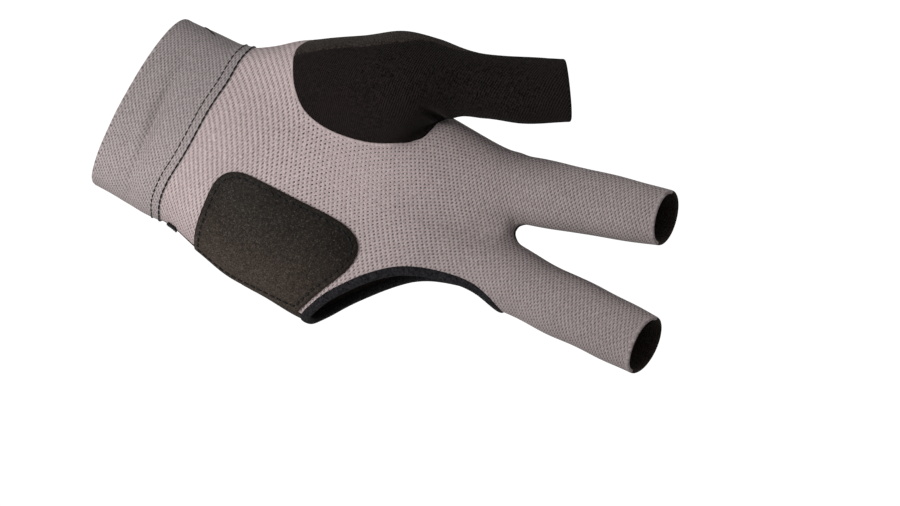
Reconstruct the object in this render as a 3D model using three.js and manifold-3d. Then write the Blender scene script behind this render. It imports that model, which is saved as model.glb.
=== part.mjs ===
// A billiard glove for the left hand, in the form that it takes when worn: sleeves with open ends
// for the thumb, the forefinger and the middle finger, and one wide opening for the ring finger and
// the little finger. Millimetres, +X along the hand towards the fingertips, -Y out of the palm, +Z
// towards the thumb. The origin is the centre of the cuff's mouth.
//
// Every piece is a wall of cloth. The outside of the wrist and hand, of each finger and of the
// thumb is a loft through the rows of a table, the inside is the same loft taken in by the wall,
// and the pieces are what flat pattern outlines cut from the wall between them.

import * as THREE from "three";
import { mergeVertices } from "three/addons/utils/BufferGeometryUtils.js";
import Module from "manifold-3d";

const wasm = await Module();
wasm.setup();

// Driving dimensions.
const CLOTH = 1.2; // the knitted panels
const CUFF_CLOTH = 1.9; // the cuff, which is folded double
const SUEDE = 1.2; // the patch on the heel of the hand
const TAPE_PROUD = 0.6; // how far the binding tape stands out of the cloth, on each side
const TAPE_WIDTH = 3;
const GAP = 0.3; // between sewn neighbours
const THUMB_MARGIN = 1.5; // how far the thumb's own cloth reaches past the thumb's form
const HAND_SIDES = 36; // the faces round a section
const FINGER_SIDES = 24;
const RING_SPACING = 9; // the longest step between two rings of a loft
const FAR = 120; // past every surface of the glove
const COLUMNS = ["low", "high", "front", "back", "square"];

// A flat cut across the glove: where it crosses the height z, its lean in the palm's plane, which
// is positive where the thumb's side is nearer the fingertips, and its tip out of that plane, which
// is positive where the back of the hand is nearer the fingertips. Degrees.
const MOUTH = { x: 0, z: 0, lean: 9.4, tip: -4 };
const CUFF_SEAM = { x: 25.4, z: 0, lean: 9.5, tip: -13 };

// The same for the open end of each sleeve, which lies between the heights low and high.
const SLEEVE_ENDS = [
  { x: 178.6, z: 21, lean: -5, tip: 13, low: 5, high: 34 }, // the forefinger
  { x: 187.3, z: -17.6, lean: 6, tip: 15, low: -40, high: 0 }, // the middle finger
  { x: 131.2, z: 47.2, lean: -26, tip: -13, low: 33, high: 90 }, // the thumb
];

// The depth at which each form is widest, seen from the palm's side.
const HAND_MIDDLE = [
  { x: -27, y: 0 },
  { x: 63, y: 0 },
  { x: 113, y: -0.5 },
  { x: 131, y: -1.5 },
  { x: 149, y: -4 },
  { x: 169, y: -8.5 },
  { x: 189, y: -14 },
  { x: 205, y: -19 },
];
const THUMB_MIDDLE = [
  { x: 30, y: -3 },
  { x: 60, y: -7.5 },
  { x: 80, y: -11 },
  { x: 100, y: -13 },
  { x: 120, y: -14.5 },
  { x: 162, y: -17 },
];

// Each row is a section across the hand: its two sides, how far it reaches in front of and
// behind its widest line, and how square its corners are, where 2 is an ellipse.
const HAND = [
  { x: -22, low: -26, high: 32.4, front: 19.5, back: 20, square: 2.2 },
  { x: 14, low: -32.5, high: 29.2, front: 19.7, back: 18.9, square: 2.2 },
  { x: 26, low: -33.9, high: 27.9, front: 20, back: 18, square: 2.3 },
  { x: 38, low: -38.8, high: 29.4, front: 20.6, back: 16.6, square: 2.4 },
  { x: 60, low: -44.5, high: 30.6, front: 20, back: 15.2, square: 2.5 },
  { x: 82, low: -46.9, high: 30, front: 17.2, back: 14.2, square: 2.6 },
  { x: 100, low: -45, high: 28.6, front: 14.6, back: 13.4, square: 2.6 },
  { x: 112, low: -35, high: 26, front: 12, back: 12, square: 2.5 },
  { x: 121, low: -25, high: 24.2, front: 10, back: 10.4, square: 2.4 },
  { x: 126, low: -22.2, high: 23.4, front: 7.8, back: 8.2, square: 2.3 },
  { x: 129.6, low: -21.6, high: 22.8, front: 4.4, back: 4.6, square: 2.2 },
  { x: 130.8, low: -20, high: 21.4, front: 1.9, back: 1.9, square: 2 },
];
const WEB_ROWS = 3; // the last rows close the hand's form between the two finger sleeves
const FOREFINGER = [
  { x: 104, low: 6, high: 24.6, front: 9, back: 9.4, square: 2.1 },
  { x: 127, low: 4, high: 25.3, front: 9.9, back: 10.3, square: 2.1 },
  { x: 135, low: 4.9, high: 26.2, front: 9.8, back: 10.2, square: 2.1 },
  { x: 148, low: 7.7, high: 27.7, front: 9.5, back: 9.8, square: 2.1 },
  { x: 161, low: 9.5, high: 29.2, front: 9.2, back: 9.4, square: 2.1 },
  { x: 177, low: 12.4, high: 29.6, front: 8.6, back: 8.7, square: 2.1 },
  { x: 195, low: 15.3, high: 30.8, front: 8, back: 8, square: 2.1 },
];
const MIDDLE_FINGER = [
  { x: 104, low: -20.4, high: -1.6, front: 9, back: 9.4, square: 2.1 },
  { x: 127, low: -22, high: 0.3, front: 9.9, back: 10.3, square: 2.1 },
  { x: 135, low: -22.8, high: -1.8, front: 9.8, back: 10.3, square: 2.1 },
  { x: 143, low: -23.4, high: -3.4, front: 9.6, back: 10, square: 2.1 },
  { x: 155, low: -24.8, high: -4.3, front: 9.4, back: 9.7, square: 2.1 },
  { x: 169, low: -26.1, high: -6.1, front: 9.2, back: 9.4, square: 2.1 },
  { x: 183, low: -26.8, high: -8, front: 9, back: 9.1, square: 2.1 },
  { x: 201, low: -28.2, high: -9.4, front: 8.6, back: 8.6, square: 2.1 },
];
const THUMB = [
  { x: 31, low: 18, high: 25, front: 8, back: 6, square: 2 },
  { x: 38, low: 15, high: 30.4, front: 10.5, back: 7.5, square: 2 },
  { x: 45, low: 13, high: 34.8, front: 12.5, back: 8.5, square: 2 },
  { x: 53, low: 11.5, high: 38.4, front: 14.2, back: 9.5, square: 2 },
  { x: 66, low: 10.5, high: 43.5, front: 16, back: 11, square: 2 },
  { x: 79, low: 11, high: 49.2, front: 16.6, back: 11.8, square: 2 },
  { x: 90, low: 16, high: 49.8, front: 16, back: 11.8, square: 2 },
  { x: 98, low: 24.2, high: 49.5, front: 14, back: 11.5, square: 2 },
  { x: 104, low: 29.2, high: 49.9, front: 12, back: 11, square: 2 },
  { x: 112, low: 31.2, high: 51.4, front: 11.2, back: 10.8, square: 2 },
  { x: 124, low: 33.4, high: 54.9, front: 10.6, back: 10.5, square: 2 },
  { x: 136, low: 37.8, high: 58.2, front: 10.2, back: 10.2, square: 2 },
  { x: 162, low: 45, high: 64, front: 9.6, back: 9.6, square: 2 },
];

// The depth of the seam between the palm panel and the back panel along the hand's two sides,
// which meet between the finger sleeves, and of the thumb panel's edge towards the forefinger.
const LITTLE_FINGER_SIDE = [
  { x: -27, y: 0 },
  { x: 22, y: -1 },
  { x: 32, y: -4.5 },
  { x: 40, y: -7 },
  { x: 80, y: -7 },
  { x: 100, y: -1.5 },
  ...HAND_MIDDLE.slice(3),
];
const THUMB_SIDE = [
  { x: -27, y: 0 },
  { x: 26, y: -1 },
  { x: 50, y: -5.5 },
  { x: 90, y: -5.5 },
  { x: 102, y: -1 },
  ...HAND_MIDDLE.slice(2),
];
const SIDES_MEET = 1; // the height between the finger sleeves
const THUMB_WEB = [
  { x: 30, y: -6 },
  { x: 98, y: -6 },
  { x: 108, y: -13.4 },
  { x: 162, y: -17 },
];
const THUMB_WEB_TOP = 31; // the height where that edge passes over into the side of the thumb

// Soft dents pressed into the cloth, seen from the palm's side: the middle of each, its
// direction in degrees from +X towards +Z, its half length, half width and depth.
const DENTS = [
  { x: 15, z: -8, turn: 78, length: 15, width: 4.5, depth: 1.1 }, // across the cuff
  { x: 75, z: -1, turn: 10, length: 26, width: 12, depth: 2.2 }, // the hollow of the palm
  { x: 118, z: 1.5, turn: 0, length: 12, width: 5, depth: 1.2 }, // between the finger sleeves
  { x: 99, z: 26, turn: 35, length: 8, width: 4, depth: 2.2 }, // between the thumb and the palm
];

// Pattern outlines, as corners of smooth lines seen from the palm's side: the thumb panel's edge
// round the ball of the thumb, its seam with the back panel along the top of the thumb, and the
// edge of the opening for the ring finger and the little finger.
const THUMB_PANEL_EDGE = [
  { x: 44.8, z: 37 }, { x: 49, z: 29.4 }, { x: 54.2, z: 19.4 },
  { x: 58.5, z: 14.9 }, { x: 63.8, z: 12.5 }, { x: 73.7, z: 11.3 },
  { x: 84, z: 12.7 }, { x: 89, z: 14.6 }, { x: 91.8, z: 16.5 },
  { x: 94.6, z: 19.6 }, { x: 96.6, z: 22.6 },
];
const THUMB_TOP_SEAM = [
  { x: 47, z: 26 }, { x: 52.6, z: 28.7 }, { x: 65.7, z: 35.4 },
  { x: 76.2, z: 40.6 }, { x: 86.6, z: 45 }, { x: 94, z: 46.6 },
  { x: 101.7, z: 47.4 }, { x: 108, z: 50.4 }, { x: 114, z: 57 },
];
const HAND_OPENING = [
  { x: 75, z: -52 }, { x: 77.4, z: -46.6 }, { x: 85, z: -34.9 },
  { x: 92.7, z: -27.3 }, { x: 103.5, z: -20.5 }, { x: 115.5, z: -17.4 },
  { x: 127, z: -18.1 }, { x: 134.8, z: -21.9 }, { x: 142, z: -27.6 },
];
const LINE_STEPS = 3; // between two corners of a smooth line

// The block that holds the ball of the thumb, in front of the hand.
const THUMB_BALL = { from: { x: 41, y: -62, z: 5 }, to: { x: 96, y: -2, z: 65 } };

// The heel patch's straight-sided outline and the radius of each corner. Its lowest corners lie
// past the side of the hand, where the patch ends this far in front of the side seam.
const PATCH = [
  { x: 39.5, z: -9, round: 10 },
  { x: 97, z: -15.6, round: 20 },
  { x: 69.3, z: -56, round: 0 },
  { x: 36, z: -56, round: 0 },
  { x: 36.3, z: -34, round: 4 },
];
const PATCH_FROM_SEAM = 0.5;
const ROUND_STEPS = 6; // round each corner

const GREY_MESH = { color: 0x9b9090, roughness: 0.85 };
const BLACK_KNIT = { color: 0x1d1b1a, roughness: 0.8 };
const BLACK_SUEDE = { color: 0x35302b, roughness: 0.95 };
const BLACK_TAPE = { color: 0x17171a, roughness: 0.9 };

const flat = (x, y) => new THREE.Vector2(x, y);

// The value of each column of a table at x, on a smooth line through its rows.
function smoothRows(table, columns) {
  const places = table.map((row) => row.x);
  const values = table.flatMap((row) => columns.map((name) => row[name]));
  const line = new THREE.CubicInterpolant(places, values, columns.length);
  return (x) => Object.fromEntries([...line.evaluate(x)].map((value, i) => [columns[i], value]));
}

// The places of a table's rows, with even steps between them no longer than RING_SPACING.
function stations(table) {
  const found = [table[0].x];
  for (let i = 1; i < table.length; i++) {
    const from = table[i - 1].x;
    const steps = Math.ceil((table[i].x - from) / RING_SPACING);
    for (let k = 1; k <= steps; k++) found.push(from + ((table[i].x - from) * k) / steps);
  }
  return found;
}

const softPower = (value, power) => Math.sign(value) * Math.abs(value) ** power;

// How far the dents push the cloth at (x, z) towards the back of the hand.
function dentAt(x, z) {
  let depth = 0;
  for (const dent of DENTS) {
    const turn = THREE.MathUtils.degToRad(dent.turn);
    const along = (x - dent.x) * Math.cos(turn) + (z - dent.z) * Math.sin(turn);
    const across = (z - dent.z) * Math.cos(turn) - (x - dent.x) * Math.sin(turn);
    depth += dent.depth * Math.exp(-((along / dent.length) ** 2) - (across / dent.width) ** 2);
  }
  return depth;
}

// The points of one section, grown outwards by grow. The dents fade out towards its sides.
function ring(row, widest, x, grow, sides) {
  const middle = (row.low + row.high) / 2;
  const half = (row.high - row.low) / 2 + grow;
  const points = [];
  for (let i = 0; i < sides; i++) {
    const angle = (2 * Math.PI * i) / sides;
    const z = middle + half * softPower(Math.cos(angle), 2 / row.square);
    const out = softPower(Math.sin(angle), 2 / row.square);
    const depth = (out < 0 ? row.front : row.back) + grow;
    const dent = out < 0 ? dentAt(x, z) * Math.min(1, -2 * out) : 0;
    points.push(new THREE.Vector3(x, widest + depth * out + dent, z));
  }
  return points;
}

// A closed loft through rings of equal numbers of points, with a fan at each end.
function loft(rings) {
  const sides = rings[0].length;
  const last = (rings.length - 1) * sides;
  const points = rings.flat();
  const middleOf = (loop) => loop.reduce((sum, p) => sum.add(p), new THREE.Vector3()).divideScalar(sides);
  const ends = [points.length, points.length + 1];
  points.push(middleOf(rings[0]), middleOf(rings.at(-1)));
  const faces = [];
  for (let j = 0; j < sides; j++) {
    const k = (j + 1) % sides;
    for (let i = 0; i < last; i += sides) {
      faces.push(i + j, i + sides + j, i + sides + k, i + j, i + sides + k, i + k);
    }
    faces.push(ends[0], j, k, ends[1], last + k, last + j);
  }
  return new THREE.BufferGeometry().setFromPoints(points).setIndex(faces);
}

// A geometry as a solid that can be cut and joined.
function solid(geometry) {
  const bare = geometry.clone();
  for (const name of ["normal", "uv"]) bare.deleteAttribute(name);
  const merged = mergeVertices(bare);
  return new wasm.Manifold(new wasm.Mesh({
    numProp: 3,
    vertProperties: new Float32Array(merged.attributes.position.array),
    triVerts: new Uint32Array(merged.index.array),
  }));
}

// The form of one table, grown outwards by grow, or taken in where grow is negative.
function form(table, middleTable, grow, sides) {
  const rowAt = smoothRows(table, COLUMNS);
  const middleAt = smoothRows(middleTable, ["y"]);
  return solid(loft(stations(table).map((x) => ring(rowAt(x), middleAt(x).y, x, grow, sides))));
}

// The form of the wrist, hand, fingers and thumb together. Where the others are taken in, the
// end of the hand between the fingers moves back by as much.
function wholeForm(grow) {
  const web = HAND.length - WEB_ROWS;
  const hand = HAND.map((row, i) => (i < web ? row : { ...row, x: row.x + grow }));
  return form(hand, HAND_MIDDLE, grow, HAND_SIDES)
    .add(form(FOREFINGER, HAND_MIDDLE, grow, FINGER_SIDES))
    .add(form(MIDDLE_FINGER, HAND_MIDDLE, grow, FINGER_SIDES))
    .add(form(THUMB, THUMB_MIDDLE, grow, FINGER_SIDES));
}

// The block between two corners.
function block(from, to) {
  const size = new THREE.Vector3().subVectors(to, from);
  const middle = new THREE.Vector3().addVectors(from, to).divideScalar(2);
  return solid(new THREE.BoxGeometry(size.x, size.y, size.z).translate(middle.x, middle.y, middle.z));
}

// Everything on the fingertips' side of a flat cut, moved along by shift.
function beyond(cut, shift = 0) {
  const half = new THREE.BoxGeometry(2 * FAR, 2 * FAR, 2 * FAR).translate(FAR + shift, 0, 0);
  half.rotateZ(THREE.MathUtils.degToRad(-cut.tip)).rotateY(THREE.MathUtils.degToRad(cut.lean));
  return solid(half.translate(cut.x, 0, cut.z));
}

// Everything past a sleeve's open end.
function beyondSleeve(end) {
  const reach = block({ x: 0, y: -FAR, z: end.low }, { x: 2 * FAR, y: FAR, z: end.high });
  return beyond(end).intersect(reach);
}

// A smooth line through corners, moved to the left of its direction by shift.
function smoothLine(corners, shift) {
  const curve = new THREE.SplineCurve(corners.map(({ x, z }) => flat(x, z)));
  const line = curve.getPoints((corners.length - 1) * LINE_STEPS);
  return line.map((p, i) => {
    const ahead = line[Math.min(i + 1, line.length - 1)];
    const way = ahead.clone().sub(line[Math.max(i - 1, 0)]).normalize();
    return flat(p.x - way.y * shift, p.y + way.x * shift);
  });
}

// A closed outline seen from the palm's side, pushed through the glove from front to back.
function prism(outline) {
  const block = new THREE.ExtrudeGeometry(new THREE.Shape(outline), { depth: 2 * FAR, bevelEnabled: false });
  return solid(block.rotateX(Math.PI / 2).translate(0, FAR, 0));
}

// Everything in front of a seam between two heights, moved towards the back of the hand by shift.
function inFrontOf(seam, shift, low, high) {
  const edge = seam.map((row) => flat(row.x, row.y + shift));
  const outline = new THREE.Shape([
    ...edge,
    flat(2 * FAR, edge.at(-1).y),
    flat(2 * FAR, -FAR),
    flat(-FAR, -FAR),
    flat(-FAR, edge[0].y),
  ]);
  const front = new THREE.ExtrudeGeometry(outline, { depth: high - low, bevelEnabled: false });
  return solid(front.translate(0, 0, low));
}

// Everything on the palm's side of the side seams.
function palmSide(shift) {
  const low = inFrontOf(LITTLE_FINGER_SIDE, shift, -FAR, SIDES_MEET);
  return low.add(inFrontOf(THUMB_SIDE, shift, SIDES_MEET, FAR));
}

// The space of all the thumb's own cloth: round the ball of the thumb, and along its sleeve.
function thumbSpace(spare) {
  const line = smoothLine(THUMB_PANEL_EDGE, -spare);
  const above = prism([flat(line[0].x, FAR), ...line, flat(2 * FAR, line.at(-1).y), flat(2 * FAR, FAR)]);
  const { from, to } = THUMB_BALL;
  const ball = block(from, { x: to.x + spare, y: to.y + spare, z: to.z });
  const sleeve = form(THUMB, THUMB_MIDDLE, THUMB_MARGIN + spare, FINGER_SIDES);
  return sleeve.add(ball).intersect(above);
}

// The part of that space that the thumb panel takes, below its top seam and in front.
function thumbPanelSpace(spare) {
  const line = smoothLine(THUMB_TOP_SEAM, spare);
  const ends = [flat(2 * FAR, line.at(-1).y), flat(2 * FAR, -FAR), flat(-FAR, -FAR), flat(-FAR, line[0].y)];
  const webFront = inFrontOf(THUMB_WEB, spare, -FAR, THUMB_WEB_TOP);
  const front = inFrontOf(THUMB_MIDDLE, spare, -FAR, FAR).add(webFront);
  return thumbSpace(spare).intersect(prism([...line, ...ends])).intersect(front);
}

// The opening for the ring finger and the little finger, grown by spare.
function handOpening(spare) {
  const line = smoothLine(HAND_OPENING, spare);
  return prism([...line, flat(line.at(-1).x, -FAR), flat(line[0].x, -FAR)]);
}

// The heel patch's outline, with each corner rounded to its radius.
function patchOutline() {
  const path = new THREE.Path();
  PATCH.forEach(({ x, z, round }, i) => {
    const corner = flat(x, z);
    const towards = (other) => flat(other.x, other.z).sub(corner).setLength(round).add(corner);
    const start = towards(PATCH.at(i - 1));
    const end = towards(PATCH[(i + 1) % PATCH.length]);
    if (i === 0) path.moveTo(start.x, start.y);
    else path.lineTo(start.x, start.y);
    if (round) path.quadraticCurveTo(x, z, end.x, end.y);
  });
  return path.getPoints(ROUND_STEPS);
}

// The wall from inner inside the form to outer outside it, open at the wrist and the fingertips.
function wall(outer, inner) {
  const closed = wholeForm(outer).subtract(wholeForm(-inner)).intersect(beyond(MOUTH));
  return SLEEVE_ENDS.reduce((shape, end) => shape.subtract(beyondSleeve(end)), closed);
}

const hand = beyond(CUFF_SEAM);
const panels = wall(0, CLOTH).intersect(hand).subtract(handOpening(GAP));

function cuff() {
  return wall(CUFF_CLOTH - CLOTH, CLOTH).subtract(beyond(CUFF_SEAM, -GAP));
}

function palmPanel() {
  return panels.intersect(palmSide(0)).subtract(thumbSpace(GAP));
}

function backPanel() {
  const palm = palmSide(GAP).subtract(thumbSpace(0));
  return panels.subtract(palm).subtract(thumbPanelSpace(GAP));
}

function thumbPanel() {
  return panels.intersect(thumbPanelSpace(0));
}

function heelPatch() {
  const outline = prism(patchOutline()).intersect(palmSide(-PATCH_FROM_SEAM));
  return wall(GAP + SUEDE, -GAP).intersect(outline);
}

function openingBinding() {
  const tape = handOpening(0).subtract(handOpening(-TAPE_WIDTH));
  return wall(TAPE_PROUD, CLOTH + TAPE_PROUD).intersect(hand).intersect(tape);
}

// A solid as a named mesh.
function piece(name, shape, finish) {
  const made = shape.getMesh();
  const geometry = new THREE.BufferGeometry()
    .setAttribute("position", new THREE.BufferAttribute(made.vertProperties.slice(), 3))
    .setIndex(new THREE.BufferAttribute(made.triVerts.slice(), 1));
  geometry.computeVertexNormals();
  const mesh = new THREE.Mesh(geometry, new THREE.MeshStandardMaterial({ ...finish, metalness: 0 }));
  mesh.name = name;
  return mesh;
}

const glove = new THREE.Group();
glove.add(
  piece("cuff", cuff(), GREY_MESH),
  piece("palm_panel", palmPanel(), GREY_MESH),
  piece("back_panel", backPanel(), BLACK_KNIT),
  piece("thumb_panel", thumbPanel(), BLACK_KNIT),
  piece("heel_patch", heelPatch(), BLACK_SUEDE),
  piece("opening_binding", openingBinding(), BLACK_TAPE),
);

export default glove;
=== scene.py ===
"""Looks of a billiard glove for the left hand, held in the form that it takes when worn.

The cloth is one smooth skin round the wrist, the hand, two fingers and the thumb. Pattern outlines
cut it into panels, each panel gets its thickness and rounded edges, and then its knit or nap,
threads and binding. Lengths are in millimetres until a mesh is made, in the CAD model's frame: +X
along the hand towards the fingertips, -Y out of the palm, +Z towards the thumb.
"""

import math

import bpy
import numpy as np
from mathutils import Matrix, Vector


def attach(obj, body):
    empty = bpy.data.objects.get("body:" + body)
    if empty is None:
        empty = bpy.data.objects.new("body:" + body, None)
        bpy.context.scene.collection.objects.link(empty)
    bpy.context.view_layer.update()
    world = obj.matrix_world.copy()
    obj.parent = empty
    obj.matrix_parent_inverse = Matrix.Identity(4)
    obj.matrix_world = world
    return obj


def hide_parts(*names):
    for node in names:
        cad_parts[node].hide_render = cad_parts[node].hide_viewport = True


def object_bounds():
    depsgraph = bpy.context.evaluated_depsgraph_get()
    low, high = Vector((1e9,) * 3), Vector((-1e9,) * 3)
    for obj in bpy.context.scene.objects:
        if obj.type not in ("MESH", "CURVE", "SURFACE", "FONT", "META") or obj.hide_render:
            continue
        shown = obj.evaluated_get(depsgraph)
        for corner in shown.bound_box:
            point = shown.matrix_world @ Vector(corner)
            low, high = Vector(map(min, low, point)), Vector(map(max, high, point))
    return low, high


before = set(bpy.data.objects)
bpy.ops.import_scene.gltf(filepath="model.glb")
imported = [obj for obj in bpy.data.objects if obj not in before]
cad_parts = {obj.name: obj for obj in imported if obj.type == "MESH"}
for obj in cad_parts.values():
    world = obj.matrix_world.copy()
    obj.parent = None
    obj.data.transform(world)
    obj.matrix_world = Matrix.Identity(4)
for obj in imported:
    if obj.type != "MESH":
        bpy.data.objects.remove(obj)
cad_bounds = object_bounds()

MM = 0.001
BLACK = (0, 0, 0, 1)
WHITE = (1, 1, 1, 1)

# Driving dimensions.
GRID = 1.0  # between two points of the skin
SNAP = 0.35  # points of the skin this near a cut are moved onto it
CLOTH = 1.2
CUFF_CLOTH = 1.9  # the cuff is folded double
CUFF_PROUD = 0.35  # how far the cuff stands out of the hand's cloth
SUEDE = 1.2
PATCH_LIFT = 1.4  # the patch's outer face above the skin
SEAM_INSET = 0.45  # how far a panel's rounded edge stays back from a sewn seam
EDGE_ANGLES = (30, 60, 90, 120, 150)  # the points round that edge, from the outer face inwards
HEM = 1.4  # the palm's knit has no holes this near a sleeve's end
CUFF_HEM = 0.4  # the cuff's knit has none this near its seam
HEM_FADE = 0.3  # the holes come in over this share of the hem before and past it
SEWN_FADE = 0.3  # they close up over this distance from a sewn edge
TAPE_WIDTH = 3.0
TAPE_PROUD = 0.6
TAPE_OVERLAP = 0.3  # how far the tape reaches back over the cloth's cut edge
TAPE_SIDES = 20
RIB_PITCH = 0.8  # between two of the fine ribs across the tape
RIB_HEIGHT = 0.07
THREAD_SIDES = 7
FINGER_ROUND = 4.0  # how far the skin rounds off between the hand and a finger
THUMB_ROUND = [(0, 6), (88, 6), (97, 1.5), (200, 1.5)]  # the same for the thumb, as points x, reach

# A flat cut across the glove: where it crosses the height z, its lean in the palm's plane, which is
# positive where the thumb's side is nearer the fingertips, and its tip out of that plane, which is
# positive where the back of the hand is nearer the fingertips. Degrees.
MOUTH = {"x": 0, "z": 0, "lean": 9.4, "tip": -4}
CUFF_SEAM = {"x": 25.4, "z": 0, "lean": 9.5, "tip": -13}

# How much nearer the wrist the cuff's seam runs in front than that flat cut, as points z, length.
SEAM_BOW = [(-32, 0), (-28.5, 1.3), (-21.4, 2.1), (-12, 1.4), (8, 1.3), (14, 0.8), (24, 0.7), (28, 0)]
SEAM_BOW_FADE = 8  # the bow fades out over this depth towards the sides

# The same for the open end of each sleeve, which lies between the heights low and high.
SLEEVE_ENDS = [
    {"x": 178.6, "z": 21, "lean": -5, "tip": 13, "low": 2, "high": 34},  # the forefinger
    {"x": 187.3, "z": -17.6, "lean": 6, "tip": 15, "low": -40, "high": 2},  # the middle finger
    {"x": 131.2, "z": 47.2, "lean": -26, "tip": -13, "low": 34, "high": 90},  # the thumb
]
SLEEVES_FROM = 105  # every sleeve's open end lies past this
FAR = 99.0  # farther than any edge

# The depth at which each form is widest, as points x, y seen from above.
HAND_MIDDLE = [
    (-27, 0), (63, 0), (113, -0.5), (131, -1.5), (149, -4), (169, -8.5), (189, -14), (205, -19),
]
THUMB_MIDDLE = [(30, -3), (60, -7.5), (80, -11), (100, -13), (120, -14.5), (162, -17)]

# Sections across the hand. The columns are x, the section's two sides low and high, how far it
# reaches in front of and behind its widest line, and how square its corners are (2 is an ellipse).
HAND = [
    (-22, -26.0, 32.4, 19.5, 20.0, 2.2),
    (14, -32.5, 29.2, 19.7, 18.9, 2.2),
    (26, -33.9, 27.9, 20.0, 18.0, 2.3),
    (38, -38.8, 29.4, 20.6, 16.6, 2.4),
    (60, -44.5, 30.6, 20.0, 15.2, 2.5),
    (82, -46.9, 30.0, 17.2, 14.2, 2.6),
    (100, -45.0, 28.6, 14.6, 13.4, 2.6),
    (112, -35.0, 26.0, 12.0, 12.0, 2.5),
    (121, -25.0, 24.2, 10.0, 10.4, 2.4),
    (126, -22.2, 23.4, 7.8, 8.2, 2.3),
    (129.6, -18.0, 18.8, 4.4, 4.6, 2.2),
    (130.8, -13.0, 14.0, 1.9, 1.9, 2.0),
]
FOREFINGER = [
    (104, 6.0, 24.6, 9.0, 9.4, 2.1),
    (127, 4.0, 25.3, 9.9, 10.3, 2.1),
    (135, 4.9, 26.2, 9.8, 10.2, 2.1),
    (148, 7.7, 27.7, 9.5, 9.8, 2.1),
    (161, 9.5, 29.2, 9.2, 9.4, 2.1),
    (177, 12.4, 29.6, 8.6, 8.7, 2.1),
    (195, 15.3, 30.8, 8.0, 8.0, 2.1),
]
MIDDLE_FINGER = [
    (104, -20.4, -1.6, 9.0, 9.4, 2.1),
    (127, -22.0, 0.3, 9.9, 10.3, 2.1),
    (135, -22.8, -1.8, 9.8, 10.3, 2.1),
    (143, -23.4, -3.4, 9.6, 10.0, 2.1),
    (155, -24.8, -4.3, 9.4, 9.7, 2.1),
    (169, -26.1, -6.1, 9.2, 9.4, 2.1),
    (183, -26.8, -8.0, 9.0, 9.1, 2.1),
    (201, -28.2, -9.4, 8.6, 8.6, 2.1),
]
THUMB = [
    (31, 18.0, 25.0, 8.0, 6.0, 2.0),
    (38, 15.0, 29.7, 10.5, 7.5, 2.0),
    (45, 13.0, 34.8, 12.5, 8.5, 2.0),
    (53, 11.5, 38.4, 14.2, 9.5, 2.0),
    (66, 10.5, 43.5, 16.0, 11.0, 2.0),
    (79, 11.0, 49.2, 16.6, 11.8, 2.0),
    (90, 16.0, 49.8, 16.0, 11.8, 2.0),
    (98, 24.2, 49.5, 14.0, 11.5, 2.0),
    (104, 29.2, 49.9, 12.0, 11.0, 2.0),
    (112, 31.2, 51.4, 11.2, 10.8, 2.0),
    (124, 33.4, 54.9, 10.6, 10.5, 2.0),
    (136, 37.8, 58.2, 10.2, 10.2, 2.0),
    (162, 45.0, 64.0, 9.6, 9.6, 2.0),
]

# The depth of the seam between the palm panel and the back panel along the hand's two sides, and
# of the thumb panel's seam along the side towards the forefinger.
LITTLE_FINGER_SIDE = [
    (-27, 0), (18, -1.5), (26, -5.6), (33, -6.9), (40, -7), (80, -7), (100, -1.5), *HAND_MIDDLE[3:],
]
THUMB_SIDE = [(-27, 0), (26, -1), (50, -5.5), (90, -5.5), (102, -1), *HAND_MIDDLE[2:]]
THUMB_WEB = [(30, -6), (98, -6), (108, -13.4), (162, -17)]
THUMB_WEB_TOP = 34  # the height where that seam passes over into the side of the thumb
SIDES_MEET = 1  # the height between the two finger sleeves

# Below the web the thumb panel's edge runs along the bottom of the crease between hand and thumb.
# In front of the crease's floor, points x, y, the cloth counts as up to CREASE_LEAN nearer the
# thumb, which comes in and goes out along x.
CREASE_FLOOR = [(98, -9), (99.5, -5)]
CREASE_LEAN = 5
CREASE_SPAN = [(94, 0), (98, 1), (107, 1), (110, 0)]

# Soft dents and creases pressed into the cloth, seen from the palm's side: the middle of each, its
# direction in degrees from +X towards +Z, its half length, half width and depth.
DENTS = [
    (13.2, -6, 84, 19, 2.2, 2.6),  # across the cuff
    (7.6, -13, 84, 10, 2.4, 0.7),
    (75, -1, 10, 26, 12, 2.2),  # the hollow of the palm
    (121, -1.5, 8, 12, 5, 1.9),  # between the finger sleeves
    (94.6, 21.0, 56, 6.5, 1.5, 2.2),  # along the thumb panel's edge below the web
    (98, 27.4, 0, 2.2, 1.1, 3.1),  # the fold at the root of the thumb's sleeve
]
DENT_FADE = 8  # a dent fades out over this depth towards the sides

# Slow waves that take the stiffness out of the surface: the length of one wave in mm along x, y
# and z, and its height.
WAVES = [(37, 61, -29, 0.16), (-23, 41, 47, 0.12), (71, -19, 17, 0.09)]

# Pattern outlines, as corners of smooth lines seen from the palm's side.
THUMB_PANEL_EDGE = [
    (58, 52), (53, 40), (49.2, 35.6), (48.3, 33), (48.6, 30.6), (50.1, 27), (54.2, 19.4), (58.5, 14.9),
    (63.8, 12.5), (73.7, 11.3), (84, 12.7), (89, 14.6), (91.8, 16.5), (94.6, 19.4), (96.1, 22.2),
    (97.1, 25.2), (97.9, 27.5), (99.2, 28.8), (101, 29.3), (104, 29.5), (110, 29.6), (118, 30.3),
    (130, 32.5), (150, 36),
]
THUMB_TOP_SEAM = [
    (38, 24), (46, 28.6), (50.8, 31.1), (57.8, 34.7), (63.8, 37.3), (70.3, 39.6), (76.4, 42.4),
    (83.1, 45.3), (87.6, 47.2), (91, 48), (98.7, 48.3), (101.2, 49.4), (103.8, 51.7), (108, 57),
    (114, 66),
]
HAND_OPENING = [
    (75, -50.5), (77, -45.7), (80, -41.4), (83.4, -36.9), (88.6, -31.5), (94, -26.7), (103.5, -20.7),
    (115.5, -17.9), (127, -18.3), (134.8, -21.9), (142, -27.6),
]
LINE_STEP = 1.5  # between two points of a smooth line

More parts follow.
